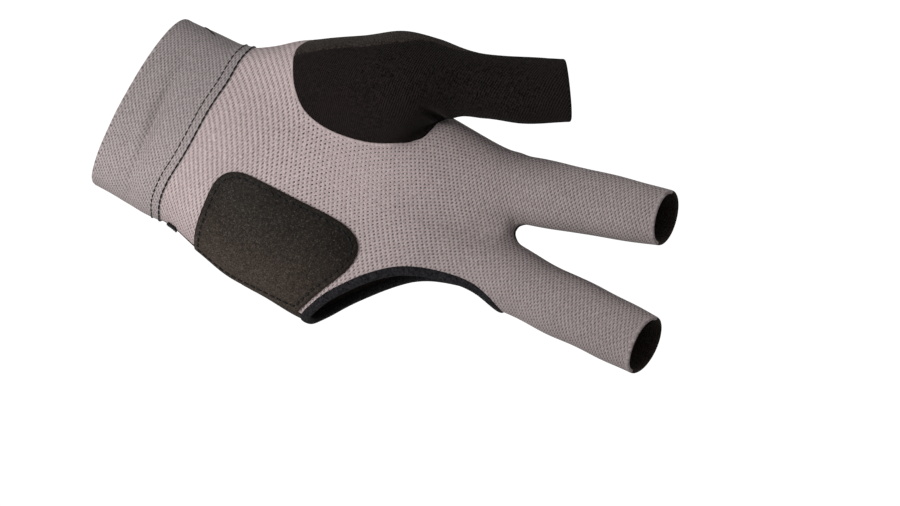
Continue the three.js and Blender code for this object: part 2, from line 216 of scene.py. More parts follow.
# The skin at the top seam's outer end is nearly level, so there each mm that a point lies behind
# TOP_SEAM_DEPTH counts as TOP_SEAM_TILT mm of height. This comes in between two places x.
TOP_SEAM_LEVEL = (82, 90)
TOP_SEAM_DEPTH = -19
TOP_SEAM_TILT = 0.6

# Where the mesh knit of the palm lies slack, seen from the palm's side. Towards the forefinger it
# is pulled askew, which comes in over a length past x and over a height above the hand's middle.
SLACK = {"x": 82, "z": 2, "length": 30, "width": 24}
SKEW = {"x": 108, "length": 12, "height": 4}

# The heel patch's straight-sided outline: x and z of each corner, and how far from it its rounding
# starts. The lowest corners lie past the side of the hand, where the patch ends this far in front
# of the side seam.
PATCH = [
    (40.1, -9, 10), (97.3, -15.7, 20), (84.6, -32.8, 1),
    (66.8, -57.6, 0), (37, -57.6, 0), (37.1, -34, 4),
]
PATCH_FROM_SEAM = 0.5
PATCH_LIGHTER_BELOW = (-0.050, -0.022)  # the suede is lighter and browner below this range of z, less and less so up it, in metres
PATCH_DARKER = (0.060, 0.092)  # it darkens along this range of x, in metres
ROUND_STEPS = 8  # round each corner

# How the patch's outer face sinks: at its row of stitches and at its edge, depth and half width.
PATCH_PRESS = {"stitches": (0.3, 0.7), "edge": (0.35, 0.9)}

# How the knit lies on the palm panel. At each place x, z: the direction across its columns of holes
# and the columns' spacing, then the direction across its rows and the rows' spacing. Directions are
# in degrees from +X towards +Z.
PALM_KNIT = [
    (30, 24, 64, 1.66, -35, 0.92),
    (31, 15, 53, 1.70, -38, 0.88),
    (31, 6, 43, 1.71, -42, 0.84),
    (44, 22, 47, 1.79, -34, 0.94),
    (44, 6, 29, 1.63, -41, 1.01),
    (30, -4, 30, 1.54, -46, 0.83),
    (28, -14, 23, 1.40, -48, 0.86),
    (36, 14, 47, 1.72, -37, 0.87),
    (40, 2, 29, 1.64, -45, 0.95),
    (36, -10, 22, 1.44, -49, 0.90),
    (33, -22, 28, 1.40, -49, 0.91),
    (50, 12, 29, 1.61, -38, 1.08),
    (52, -4, 13, 1.44, -47, 1.18),
    (66, 6, 9, 1.41, -55, 1.36),
    (66, -6, 12, 1.39, -52, 1.31),
    (80, 8, 7, 1.33, -62, 1.21),
    (80, -5, 16, 1.41, -55, 1.20),
    (92, 12, 16, 1.28, -62, 1.13),
    (92, 0, 20, 1.42, -60, 1.09),
    (96, -12, 31, 1.48, -57, 0.98),
    (104, 22, 34, 1.10, -77, 1.14),
    (106, 8, 27, 1.30, -73, 1.10),
    (106, -6, 29, 1.42, -66, 0.99),
    (118, 6, 32, 1.25, -80, 1.00),
    (118, -12, 29, 1.31, -71, 0.94),
    (128, 18, 31, 1.06, -88, 1.07),
    (142, 20, 30, 1.23, -91, 1.01),
    (142, -15, 18, 1.19, -62, 1.12),
    (158, 18, 31, 1.24, -86, 0.96),
    (158, -17, 18, 1.24, -54, 1.18),
    (170, 22, 28, 1.24, -89, 0.95),
    (174, -19, 16, 1.17, -51, 1.09),
]
THUMB_KNIT = [(60, 25, -1, 0.7, 89, 0.7), (90, 30, -6, 0.7, 84, 0.7), (115, 42, -9, 0.8, 81, 0.8)]
BACK_KNIT = [(80, 0, 0, 0.8, 90, 0.8)]
KNIT_BLEND = 40  # square mm: the larger, the more softly these places blend

# The cuff's directions and spacings, from its length towards its round, and the oval round its
# middle that they are counted on.
CUFF_KNIT = (34, 1.09, -55, 1.05)
CUFF_OVAL = {"x": 13, "z": -2, "depth": 20, "breadth": 30}

# Rows of stitches: how far each row lies inside the cuff's seam or the patch's edge, the height of
# its threads above the skin, their pitch, length and radius.
SEAM_STITCHES = {"inside": -0.2, "lift": CUFF_PROUD - 0.12, "pitch": 2.4, "length": 2.55, "radius": 0.32}
HEM_STITCHES = {"inside": 2.5, "lift": CUFF_PROUD + 0.05, "pitch": 2.2, "length": 1.9, "radius": 0.2}
PATCH_STITCHES = {"inside": 1.9, "lift": PATCH_LIFT - 0.12, "pitch": 2.35, "length": 1.6, "radius": 0.32}

# The zigzag by the cuff runs between two places x, this far in front of the little finger's seam.
BARTACK = {"x": (24.9, 28.6), "front": 1.1, "turns": 9, "width": 3.6, "lift": 0.45, "radius": 0.36}
CUFF_THREAD = {"x": (12.4, 18.4), "y": (-1.2, -6.2), "radius": 0.24}

# The stage and the camera, in metres, watts and degrees. Each softbox has its place, its width and
# height, its power, what it is aimed at, and how wide it spreads its light.
FLOOR_HEIGHT = -0.35
FLOOR_SIZE = 40
FILL = 0.3
CAMERA_WHITE = 1.05  # the brightness of the floor and the sky as the camera sees them
SOFTBOXES = [
    ("key", (-0.08, -0.42, -0.12), (0.2, 0.2), 0.52, (0.03, 0, -0.01), 100),
    ("top", (0.1, -0.7, 0.7), (0.6, 0.6), 0.5, (0.1, 0, 0), 180),
    ("above", (0.12, -0.05, 0.7), (0.5, 0.2), 0.7, (0.1, 0, 0), 180),
    ("below", (0.08, -0.05, -0.34), (0.5, 0.1), 0.1, (0.08, 0, 0), 180),
]
CAMERA_TARGET = (0.1135, 0, -0.0114)
CAMERA_AZIMUTH = 14
CAMERA_ROLL = 20
CAMERA_DISTANCE = 1.0
CAMERA_LENS = 128  # mm, for a sensor 36 mm wide


def smooth(points, x):
    """The height at x of a smooth line through points x, y, carried on level past its ends."""
    xs, ys = np.array(points, float).T[:2]
    slopes = np.gradient(ys, xs)
    x = np.clip(x, xs[0], xs[-1])
    i = np.clip(np.searchsorted(xs, x) - 1, 0, len(xs) - 2)
    width = xs[i + 1] - xs[i]
    t = (x - xs[i]) / width
    bend = width * (t * (1 - t) ** 2 * slopes[i] - t * t * (1 - t) * slopes[i + 1])
    return ys[i] + t * t * (3 - 2 * t) * (ys[i + 1] - ys[i]) + bend


def along_column(table, k, x):
    """One column of a table of sections, read at x."""
    return smooth([(row[0], row[k]) for row in table], x)


def form(table, middle, x, y, z):
    """About how far points are outside one form, in mm, and negative inside it."""
    low, high, front, back, square = (along_column(table, k, x) for k in range(1, 6))
    half = (high - low) / 2
    across = np.abs(z - (low + high) / 2) / half
    past = y - smooth(middle, x)
    depth = np.where(past < 0, front, back)
    through = np.abs(past) / depth
    reach = np.maximum((across**square + through**square) ** (1 / square), 0.2)
    steep = np.hypot(across ** (square - 1) / half, through ** (square - 1) / depth)
    steep = np.maximum(steep * reach ** (1 - square), 1e-3)
    ends = np.maximum(table[0][0] - x, x - table[-1][0])
    return np.maximum((reach - 1) / steep, ends)


def soft_least(a, b, reach):
    """The lesser of a and b, with the crease between them rounded off."""
    near = np.maximum(reach - np.abs(a - b), 0) / reach
    return np.minimum(a, b) - near * near * reach / 4


def dents(x, y, z):
    """How deep the dents and creases are at points."""
    total = 0
    for dent_x, dent_z, turn, length, width, depth in DENTS:
        c, s = math.cos(math.radians(turn)), math.sin(math.radians(turn))
        along = ((x - dent_x) * c + (z - dent_z) * s) / length
        across = ((z - dent_z) * c - (x - dent_x) * s) / width
        total = total + depth * np.exp(-along * along - across * across)
    return total * np.clip((smooth(HAND_MIDDLE, x) - y) / DENT_FADE, 0, 1)


def skin_field(x, y, z):
    """About how far points are outside the cloth's outer face, in mm."""
    whole = form(HAND, HAND_MIDDLE, x, y, z)
    whole = soft_least(whole, form(FOREFINGER, HAND_MIDDLE, x, y, z), FINGER_ROUND)
    whole = soft_least(whole, form(MIDDLE_FINGER, HAND_MIDDLE, x, y, z), FINGER_ROUND)
    whole = soft_least(whole, form(THUMB, THUMB_MIDDLE, x, y, z), np.interp(x, *zip(*THUMB_ROUND)))
    for wave_x, wave_y, wave_z, height in WAVES:
        whole = whole + height * np.sin(2 * math.pi * (x / wave_x + y / wave_y + z / wave_z))
    return whole + dents(x, y, z)


def skin(points):
    return skin_field(*points.T)


def slope(field, points, step=0.2):
    """How fast a field rises at points, along x, y and z."""
    moves = np.eye(3) * step
    return np.stack([(field(points + move) - field(points - move)) / (2 * step) for move in moves], 1)


def unit(vectors):
    return vectors / np.maximum(np.linalg.norm(vectors, axis=1, keepdims=True), 1e-9)


def normals_at(points):
    return unit(slope(skin, points, 0.5))


def settle(points, rounds=2):
    """The points moved onto the skin."""
    for _ in range(rounds):
        rise = slope(skin, points)
        points = points - (skin(points) / (rise * rise).sum(1))[:, None] * rise
    return points


def skin_mesh():
    """The skin as points and triangles, open where it leaves the CAD model's box."""
    low, high = (np.array(corner) / MM for corner in cad_bounds)
    axes = [np.arange(a - 3, b + 3, GRID) for a, b in zip(low, high)]
    inside = skin_field(axes[0][:, None, None], axes[1][None, :, None], axes[2][None, None, :]) < 0
    cells = []
    for axis in range(3):
        turned = inside.transpose(axis, (axis + 1) % 3, (axis + 2) % 3)
        place = np.argwhere(turned[:-1, 1:-1, 1:-1] != turned[1:, 1:-1, 1:-1]) + (0, 1, 1)
        leaving = turned[tuple(place.T)]
        ring = np.array([(0, -1, -1), (0, 0, -1), (0, 0, 0), (0, -1, 0)])
        corners = place[:, None] + np.where(leaving[:, None, None], ring, ring[::-1])
        cells.append(np.roll(corners, axis, axis=2))
    cells = np.concatenate(cells)
    used, quads = np.unique(cells.reshape(-1, 3), axis=0, return_inverse=True)
    quads = quads.reshape(-1, 4)
    points = np.stack([axes[k][0] + (used[:, k] + 0.5) * GRID for k in range(3)], 1)
    triangles = np.concatenate([quads[:, [0, 1, 2]], quads[:, [0, 2, 3]]])
    points = settle(points, 4)
    for _ in range(6):
        points = settle(relaxed(points, triangles), 1)
    return points, triangles


def relaxed(points, triangles):
    """The points moved halfway to the middle of their neighbours, but for those on the edge."""
    pairs = edges_of(triangles)
    count = np.bincount(pairs[:, 0])[:, None]
    total = [np.bincount(pairs[:, 0], points[pairs[:, 1], k]) for k in range(3)]
    moved = (points + np.stack(total, 1) / count) / 2
    fixed = np.unique(edge_pairs(triangles))
    moved[fixed] = points[fixed]
    return moved


def edges_of(triangles):
    """The sides of all the triangles, as pairs of points in each triangle's direction."""
    return np.concatenate([triangles[:, [0, 1]], triangles[:, [1, 2]], triangles[:, [2, 0]]])


def edge_pairs(triangles):
    """The edges that only one triangle has, in that triangle's direction."""
    pairs = edges_of(triangles)
    _, first, count = np.unique(np.sort(pairs, axis=1), axis=0, return_index=True, return_counts=True)
    return pairs[first[count == 1]]


def tidy(points, triangles):
    """The mesh without unused points and triangles that have no area."""
    a, b, c = (points[triangles[:, k]] for k in range(3))
    area = np.linalg.norm(np.cross(b - a, c - a), axis=1)
    triangles = triangles[area > 1e-5]
    used, flat = np.unique(triangles, return_inverse=True)
    return points[used], flat.reshape(-1, 3)


def largest_part(triangles):
    """The triangles of the part of a mesh that has most of them."""
    label = np.arange(triangles.max() + 1)
    before = None
    while before is None or (label != before).any():
        before = label.copy()
        np.minimum.at(label, triangles, label[triangles].min(1)[:, None])
        label = label[label]
    part = label[triangles[:, 0]]
    return triangles[part == np.bincount(part).argmax()]


def trim(mesh, keep):
    """The part of a mesh where keep is positive, cut along keep's zero line."""
    points, triangles = mesh
    value = keep(points)
    normal = normals_at(points)
    rise = slope(keep, points)
    rise -= (rise * normal).sum(1)[:, None] * normal
    steep = (rise * rise).sum(1)
    near = (np.abs(value) < SNAP) & (steep > 0.3)
    points = points.copy()
    points[near] -= (value[near] / steep[near])[:, None] * rise[near]
    points[near] = settle(points[near])
    value[near] = 0
    inside = value >= 0
    count = inside[triangles].sum(1)
    cut = triangles[(count == 1) | (count == 2)]
    alone = np.argmax(inside[cut] == (inside[cut].sum(1) == 1)[:, None], axis=1)
    cut = np.take_along_axis(cut, (alone[:, None] + np.arange(3)) % 3, 1)
    crossed = np.concatenate([cut[:, [0, 1]], cut[:, [0, 2]]])
    pairs, which = np.unique(np.sort(crossed, axis=1), axis=0, return_inverse=True)
    from_value, to_value = value[pairs[:, 0]], value[pairs[:, 1]]
    share = (from_value / (from_value - to_value))[:, None]
    added = settle(points[pairs[:, 0]] * (1 - share) + points[pairs[:, 1]] * share, 1)
    new = np.arange(len(pairs)) + len(points)
    index = np.where(from_value == 0, pairs[:, 0], np.where(to_value == 0, pairs[:, 1], new))
    first, second = np.split(index[which.reshape(-1)], 2)
    kept = inside[cut[:, 0]]
    tips = np.stack([cut[kept, 0], first[kept], second[kept]], 1)
    rest = ~kept
    sides = np.stack([first[rest], cut[rest, 1], cut[rest, 2]], 1)
    fills = np.stack([first[rest], cut[rest, 2], second[rest]], 1)
    faces = np.concatenate([triangles[count == 3], tips, sides, fills])
    points, faces = tidy(np.concatenate([points, added]), faces)
    return tidy(points, largest_part(faces))


def contour(mesh, field):
    """The longest line on a mesh where field is zero, as points in order, and whether it closes."""
    points, triangles = mesh
    value = field(points)
    above = value > 0
    crossed = triangles[(above[triangles].sum(1) % 3) > 0]
    links = {}
    for triangle in crossed.tolist():
        sides = zip(triangle, triangle[1:] + triangle[:1])
        first, second = (tuple(sorted(side)) for side in sides if above[side[0]] != above[side[1]])
        links.setdefault(first, []).append(second)
        links.setdefault(second, []).append(first)
    lines = []
    left = dict(links)
    starts = [key for key, ends in links.items() if len(ends) == 1] + list(links)
    for start in starts:
        line = []
        ways = [start] if start in left else []
        while ways:
            line.append(ways[0])
            ways = [key for key in left.pop(ways[0]) if key in left]
        lines.append(line)
    longest = max(lines, key=len)
    pairs = np.array(longest)
    share = (value[pairs[:, 0]] / (value[pairs[:, 0]] - value[pairs[:, 1]]))[:, None]
    found = points[pairs[:, 0]] * (1 - share) + points[pairs[:, 1]] * share
    closed = longest[0] in links[longest[-1]]
    return found, closed


def travelled(line):
    """How far along a line each of its points lies."""
    return np.concatenate([[0], np.cumsum(np.linalg.norm(np.diff(line, axis=0), axis=1))])


def read_along(values, travel, at):
    """The values, which have one row for each place in travel, read at other places."""
    return np.stack([np.interp(at, travel, column) for column in values.T], 1)


def even(line, step, closed, soften=3):
    """A line through the same places with even steps, smoothed a little."""
    for _ in range(soften):
        before, after = np.roll(line, 1, axis=0), np.roll(line, -1, axis=0)
        softer = (before + 2 * line + after) / 4
        if not closed:
            softer[0], softer[-1] = line[0], line[-1]
        line = softer
    if closed:
        line = np.concatenate([line, line[:1]])
    travel = travelled(line)
    count = max(2, round(travel[-1] / step))
    at = np.linspace(0, travel[-1], count + 1)
    if closed:
        at = at[:-1]
    return read_along(line, travel, at)


def smooth_outline(corners):
    """Points x, z along a smooth line through corners."""
    corners = np.array(corners, float)
    travel = travelled(corners)
    at = np.arange(0, travel[-1], LINE_STEP)
    return np.stack([smooth(np.stack([travel, corners[:, k]], 1), at) for k in range(2)], 1)


def patch_outline():
    """Points x, z round the heel patch, which lies to their left, with each corner rounded."""
    outline = []
    for i, (x, z, reach) in enumerate(PATCH):
        corner = np.array([x, z], float)
        before = np.array(PATCH[i - 1][:2]) - corner
        after = np.array(PATCH[(i + 1) % len(PATCH)][:2]) - corner
        start = corner + before / np.linalg.norm(before) * reach
        end = corner + after / np.linalg.norm(after) * reach
        steps = np.linspace(0, 1, ROUND_STEPS + 1)[:, None] if reach else np.zeros((1, 1))
        outline.extend((1 - steps) ** 2 * start + 2 * steps * (1 - steps) * corner + steps**2 * end)
    return np.array([*outline, outline[0]])[::-1]


def left_of(line, points, closed=False):
    """How far points are to the left of a line's direction, seen from the palm's side."""
    start, end = line[:-1], line[1:]
    way = end - start
    length = np.linalg.norm(way, axis=1)
    flat = points[:, [0, 2]]
    offset = flat[:, None] - start
    share = (offset * way).sum(2) / length**2
    first = 0 if closed else 1
    share[:, first:] = np.maximum(share[:, first:], 0)
    share[:, : len(way) - first] = np.minimum(share[:, : len(way) - first], 1)
    nearest = offset - share[..., None] * way
    distance = np.linalg.norm(nearest, axis=2)
    which = distance.argmin(1)
    rows = np.arange(len(points))
    turn = way[which, 0] * nearest[rows, which, 1] - way[which, 1] * nearest[rows, which, 0]
    return np.sign(turn) * distance[rows, which]


def past_cut(cut, points):
    """How far points are on the fingertips' side of a flat cut."""
    lean, tip = math.radians(cut["lean"]), math.radians(-cut["tip"])
    way = np.array([math.cos(tip) * math.cos(lean), math.sin(tip), -math.cos(tip) * math.sin(lean)])
    return (points - (cut["x"], 0, cut["z"])) @ way


THUMB_EDGE = smooth_outline(THUMB_PANEL_EDGE)
TOP_SEAM = smooth_outline(THUMB_TOP_SEAM)
OPENING_EDGE = smooth_outline(HAND_OPENING)
PATCH_EDGE = patch_outline()


def before_sleeve_ends(points):
    """How far points are inside the open end of their own sleeve."""
    x, _, z = points.T
    inside = np.full(len(points), FAR)
    for end in SLEEVE_ENDS:
        own = (x > SLEEVES_FROM) & (z > end["low"]) & (z < end["high"])
        inside = np.where(own, np.minimum(inside, -past_cut(end, points)), inside)
    return inside


def on_cuff(points):
    """How far points are on the wrist's side of the cuff's seam."""
    _, y, z = points.T
    return -past_cut(CUFF_SEAM, points) - smooth(SEAM_BOW, z) * np.clip(-y / SEAM_BOW_FADE, 0, 1)


def in_opening(points):
    """How far points are inside the opening for the ring finger and the little finger."""
    return -left_of(OPENING_EDGE, points)


def before_side_seam(points):
    """How far points are on the palm's side of the seam along the hand's sides."""
    x, y, z = points.T
    return np.where(z < SIDES_MEET, smooth(LITTLE_FINGER_SIDE, x), smooth(THUMB_SIDE, x)) - y


def before_thumb_seam(points):
    """How far points are on the palm's side of the seam along the thumb's sides."""
    x, y, z = points.T
    web = np.where(z < THUMB_WEB_TOP, smooth(THUMB_WEB, x) - y, -FAR)
    return np.maximum(smooth(THUMB_MIDDLE, x) - y, web)


def past_thumb_edge(points):
    """How far points are on the thumb's side of its panel's edge."""
    x, y, z = points.T
    share = np.interp(x, *zip(*CREASE_SPAN))
    lean = share * np.clip(smooth(CREASE_FLOOR, x) - y, 0, CREASE_LEAN)
    return left_of(THUMB_EDGE, np.stack([x, y, z + lean], 1))


def palm_share(points):
    """Positive where the cloth belongs to the palm panel."""
    return np.minimum(before_side_seam(points), -past_thumb_edge(points))


def thumb_share(points):
    """Positive where the cloth belongs to the thumb panel."""
    x, y, z = points.T
    tilt = np.interp(x, TOP_SEAM_LEVEL, (0, TOP_SEAM_TILT))
    height = z + tilt * (y - TOP_SEAM_DEPTH)
    top = left_of(TOP_SEAM, np.stack([x, y, height], 1))
    front = np.minimum(before_thumb_seam(points), -top)
    return np.minimum(front, past_thumb_edge(points))


def patch_share(points):
    """Positive where the heel patch lies on the cloth."""
    return np.minimum(left_of(PATCH_EDGE, points, True), before_side_seam(points) - PATCH_FROM_SEAM)


def rotated(flat, facing, normals):
    """Flat vectors in the plane that faces one way, turned into the skin's own plane at each point."""
    together = facing + normals
    share = (flat * normals).sum(1) / np.maximum(1 + normals @ facing, 0.15)
    return flat - share[:, None] * together


def lattice(table, points, normals, facing):
    """The knit's two rates of change at points, in holes to the millimetre, as vectors on the skin."""
    table = np.array(table, float)
    away = ((points[:, None, [0, 2]] - table[:, :2]) ** 2).sum(2)
    weight = 1 / (away + KNIT_BLEND) ** 1.5
    weight /= weight.sum(1, keepdims=True)
    rates = []
    for turn, pitch in ((2, 3), (4, 5)):
        angle = np.radians(table[:, turn])
        flat = np.stack([np.cos(angle), np.zeros(len(table)), np.sin(angle)], 1) / table[:, pitch, None]
        rates.append(rotated(weight @ flat, facing, normals))
    return rates


def laid(points, triangles, wanted, rounds=500):
    """Numbers at the points that change over the mesh as nearly as can be at the wanted rates."""
    corners = [points[triangles[:, k]] for k in range(3)]
    cross = np.cross(corners[1] - corners[0], corners[2] - corners[0])
    double = np.linalg.norm(cross, axis=1)[:, None]
    normal = cross / double
    hats = [np.cross(normal, corners[k - 1] - corners[k - 2]) / double for k in range(3)]
    size = len(points)

    def gathered(rates):
        parts = ((hats[k] * rates[k]).sum(1) * double[:, 0] for k in range(3))
        return sum(np.bincount(triangles[:, k], part, size) for k, part in enumerate(parts))

    def product(numbers):
        rate = sum(hats[k] * numbers[triangles[:, k], None] for k in range(3))
        return gathered([rate] * 3)

    stiffness = gathered(hats)
    numbers = np.zeros(size)
    rest = gathered([wanted] * 3)
    scaled = rest / stiffness
    way = scaled.copy()
    strength = rest @ scaled
    for _ in range(rounds):
        step = product(way)
        length = strength / (way @ step)
        numbers += length * way
        rest -= length * step
        scaled = rest / stiffness
        fresh = rest @ scaled
        way = scaled + (fresh / strength) * way
        strength = fresh
        if strength < 1e-7:
            break
    return numbers


def knit_map(mesh, table, facing):
    """The knit's counts at the mesh's points: across its columns and across its rows."""
    points, triangles = mesh
    middles = points[triangles].mean(1)
    rates = lattice(table, middles, normals_at(middles), np.array(facing, float))
    return np.stack([laid(points, triangles, rate) for rate in rates], 1)


def cuff_map(points):
    """The same for the cuff, counted along it and round it, with whole numbers round the ring."""
    middle, depth, breadth = CUFF_OVAL["z"], CUFF_OVAL["depth"], CUFF_OVAL["breadth"]

    def turn_at(places):
        turn = np.arctan2(places[:, 1] / depth, (places[:, 2] - middle) / breadth)
        return turn % (2 * math.pi)

    turns = np.radians(np.arange(361))
    x = np.full(len(turns), CUFF_OVAL["x"])
    rim = np.stack([x, 1.2 * depth * np.sin(turns), breadth * np.cos(turns) + middle], 1)
    rim = settle(rim, 6)
    travel = travelled(rim)
    rim_angle = turn_at(rim)
    rim_angle[0], rim_angle[-1] = 0, 2 * math.pi
    around = np.interp(turn_at(points), rim_angle, travel)
    along = past_cut(MOUTH, points)
    counts, jumps = [], []
    for turn, pitch in (CUFF_KNIT[:2], CUFF_KNIT[2:]):
        whole = round(math.sin(math.radians(turn)) / pitch * travel[-1])
        counts.append(along * math.cos(math.radians(turn)) / pitch + around / travel[-1] * whole)
        jumps.append(whole)
    return np.stack(counts, 1), np.array(jumps)


def add_object(name, data):
    """A new object in the scene."""
    thing = bpy.data.objects.new(name, data)
    bpy.context.scene.collection.objects.link(thing)
    return thing


def add_mesh(name, points, faces, material, uv=None, numbers=None):
    """A piece made of points in mm and faces, which rides on the glove's one body."""
    mesh = bpy.data.meshes.new(name)
    if isinstance(faces, np.ndarray):
        faces = faces.tolist()
    mesh.from_pydata((points * MM).tolist(), [], faces)
    for attribute, values in (numbers or {}).items():
        layer = mesh.attributes.new(attribute, "FLOAT", "POINT")
        layer.data.foreach_set("value", np.asarray(values, np.float32))
    if uv is not None:
        corners = np.empty(len(mesh.loops), np.int32)
        mesh.loops.foreach_get("vertex_index", corners)
        layer = mesh.uv_layers.new(name="knit")
        layer.data.foreach_set("uv", uv(corners).astype(np.float32).ravel())
    mesh.polygons.foreach_set("use_smooth", [True] * len(mesh.polygons))
    mesh.materials.append(material)
    mesh.update()
    piece = add_object(name, mesh)
    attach(piece, "root")
    return piece


def thicken(mesh, lift, thickness, press=None):
    """A sheet of cloth from a trimmed piece of skin: its outer and inner faces and round edges.

    Returns its points and faces, and for each point the skin's point that it came from.
    """
    points, triangles = mesh
    normals = normals_at(points)
    sunk = press(points) if press else np.zeros(len(points))
    outer = points + normals * (lift - sunk)[:, None]
    inner = points + normals * (lift - thickness)
    pairs = edge_pairs(triangles)
    ways = unit(points[pairs[:, 1]] - points[pairs[:, 0]])
    outward = np.zeros_like(points)
    for k in range(2):
        np.add.at(outward, pairs[:, k], np.cross(ways, normals[pairs[:, k]]))
    rim = np.unique(pairs)
    place = np.full(len(points), -1)
    place[rim] = np.arange(len(rim))
    out = unit(outward[rim])
    size = len(points)
    rings = []
    sources = [np.arange(size), np.arange(size)]
    half = (thickness - sunk[rim])[:, None] / 2
    middle = (outer[rim] + inner[rim]) / 2
    for angle in EDGE_ANGLES:
        turn = math.radians(angle)
        rings.append(middle + half * (normals[rim] * math.cos(turn) + out * math.sin(turn)))
        sources.append(rim)
    made = np.concatenate([outer, inner, *rings])
    between = [2 * size + len(rim) * k + np.arange(len(rim)) for k in range(len(rings))]
    levels = [rim, *between, rim + size]
    from_, to = place[pairs[:, 0]], place[pairs[:, 1]]
    faces = [triangles, triangles[:, ::-1] + size]
    for above, below in zip(levels, levels[1:]):
        faces.append(np.stack([above[to], above[from_], below[from_]], 1))
        faces.append(np.stack([above[to], below[from_], below[to]], 1))
    return made, np.concatenate(faces), np.concatenate(sources)


def tube(line, radius):
    """A round thread along a line, with a radius at each of its points, as points and faces."""
    ways = unit(np.gradient(line, axis=0))
    across = unit(np.cross(ways, ways[:, [1, 2, 0]] + 0.1))
    other = np.cross(ways, across)
    turns = np.arange(THREAD_SIDES) * 2 * math.pi / THREAD_SIDES
    ring = across[:, None] * np.cos(turns)[:, None] + other[:, None] * np.sin(turns)[:, None]
    points = (line[:, None] + radius[:, None, None] * ring).reshape(-1, 3)
    faces = []
    for start in range(0, len(points) - THREAD_SIDES, THREAD_SIDES):
        for j in range(THREAD_SIDES):
            here, beside = start + j, start + (j + 1) % THREAD_SIDES
            faces.append((here, beside, beside + THREAD_SIDES, here + THREAD_SIDES))
    faces.append(tuple(range(THREAD_SIDES))[::-1])
    faces.append(tuple(range(len(points) - THREAD_SIDES, len(points))))
    return points, faces


def stitches(name, whole, field, row, material):
    """A row of stitches along the line where field has the row's value, with sunken ends."""
    line, closed = contour(whole, lambda points: field(points) - row["inside"])
    line = even(line, 0.25, closed)
    normals = normals_at(line)
    travel = travelled(line)
    count = max(1, round(travel[-1] / row["pitch"]))
    pitch = travel[-1] / count
    steps = np.linspace(-0.5, 0.5, 9)
    arch = np.sqrt(np.cos(steps * math.pi).clip(0))
    height = row["lift"] + row["radius"] * (1.6 * arch - 1.1)
    all_points, all_faces = [], []
    total = 0
    for i in range(count):
        at = (i + 0.5) * pitch + steps * row["length"]
        at = np.clip(at, 0, travel[-1])
        path = read_along(line, travel, at)
        normal = unit(read_along(normals, travel, at))
        points, faces = tube(path + normal * height[:, None], row["radius"] * (0.55 + 0.45 * arch))
        all_points.append(points)
        all_faces.extend(tuple(v + total for v in face) for face in faces)
        total += len(points)
    add_mesh(name, np.concatenate(all_points), all_faces, material)


